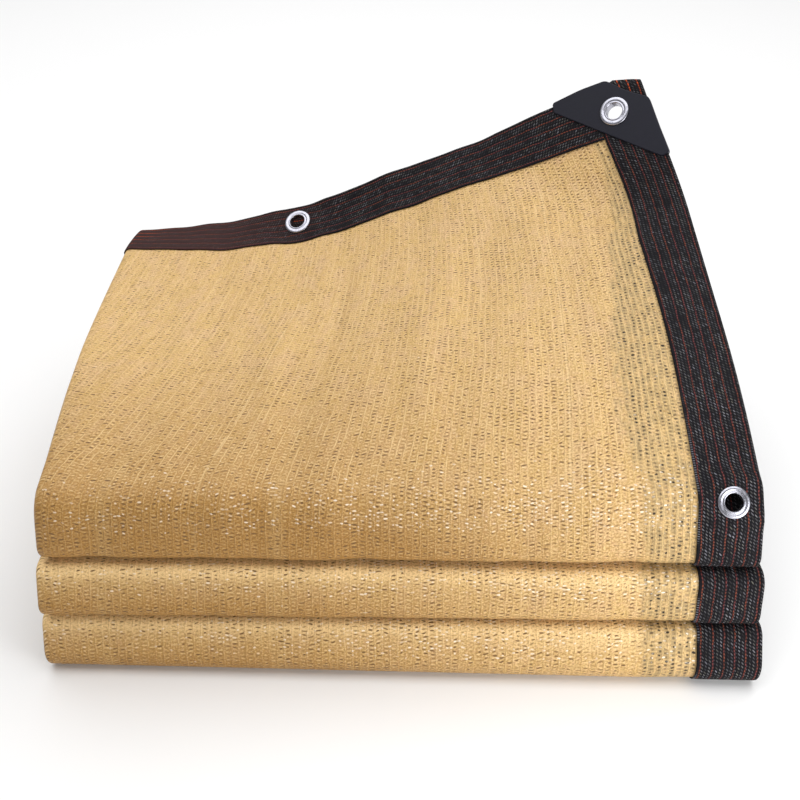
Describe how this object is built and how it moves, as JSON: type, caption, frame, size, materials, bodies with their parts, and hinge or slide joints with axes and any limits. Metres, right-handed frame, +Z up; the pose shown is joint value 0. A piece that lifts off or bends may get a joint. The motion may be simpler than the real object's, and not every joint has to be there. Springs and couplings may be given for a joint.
{
  "type": "shade sail",
  "caption": "Knitted shade net folded in half and then back and forth into a pile, with taped hems, eyelets and a plastic corner, its top corner drawn up.",
  "frame": {"origin": "middle of the pile's plan, on the floor that it lies on", "axes": "+X across the pile from its folded side to its taped side, +Y from the front rolls to the back edge, +Z up"},
  "size_m": [0.5234, 0.4394, 0.3256],
  "materials": {
    "net": "knitted sand coloured plastic yarn, faint sheen",
    "tape": "knitted black tape with thin orange red lines, matte",
    "plastic": "satin charcoal",
    "eyelet_metal": "bright"
  },
  "bodies": {
    "root": {"net": "net", "side_tape_upper": "tape", "side_tape_lower": "tape", "end_tape_top": "tape", "end_tape_bottom": "tape", "corner_patch": "plastic", "eyelet_corner": "eyelet_metal", "eyelet_back": "eyelet_metal", "eyelet_front": "eyelet_metal"}
  },
  "joints": []
}
